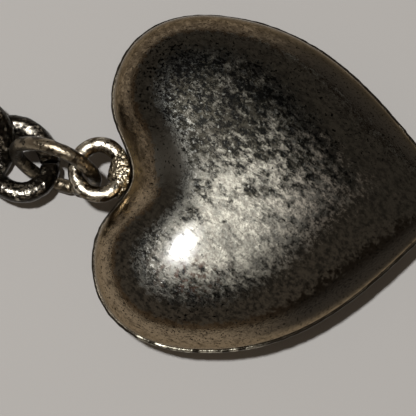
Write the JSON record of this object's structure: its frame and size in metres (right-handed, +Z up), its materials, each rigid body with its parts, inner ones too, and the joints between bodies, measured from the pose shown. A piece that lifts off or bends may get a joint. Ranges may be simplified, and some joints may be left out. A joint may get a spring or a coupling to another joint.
{
  "type": "heart charm",
  "caption": "Puffed heart charm soldered from two domed silver shells, with a hanging loop in its notch, a jump ring and the links of the chain it hangs from.",
  "frame": {"origin": "middle of the small worn flat on the crown of the back shell, on which the charm lies", "axes": "+X from the notch towards the heart's tip, so the chain runs towards -X; +Z up through the crown of the front shell; +Y across the heart"},
  "size_m": [0.032, 0.0202, 0.0078],
  "materials": {
    "tarnished_silver": "polished sheet silver under a mottled, sooty tarnish",
    "seam_solder": "beaded silver solder, rubbed bright",
    "bright_silver": "silver wire polished by wear",
    "brassy_solder": "rough, grainy hard solder",
    "worn_silver": "worn silver wire with brown tarnish",
    "dark_silver": "blackened, pitted silver wire, bright on its crests"
  },
  "bodies": {
    "heart": {"heart_front_shell": "tarnished_silver", "heart_back_shell": "tarnished_silver", "rim_solder_seam": "seam_solder", "hanging_loop": "bright_silver", "loop_solder": "brassy_solder"},
    "jump_ring": {"jump_ring": "worn_silver"},
    "chain_link": {"chain_link": "dark_silver"},
    "end_link": {"end_link": "dark_silver"}
  },
  "joints": [
    {"name": "jump_ring_swing", "type": "hinge", "parent": "heart", "child": "jump_ring", "pos_m": [-0.009, 0.00032, 0.00389], "axis": [0, 0, 1], "range_deg": [-45, 45]},
    {"name": "chain_link_turn", "type": "hinge", "parent": "jump_ring", "child": "chain_link", "pos_m": [-0.01378, 0.00065, 0.00159], "axis": [0, 0, 1], "range_deg": [-5, 60]},
    {"name": "end_link_swing", "type": "hinge", "parent": "chain_link", "child": "end_link", "pos_m": [-0.01628, 0.00158, 0.00135], "axis": [0, -0.718, 0.696], "range_deg": [-25, 20]}
  ]
}
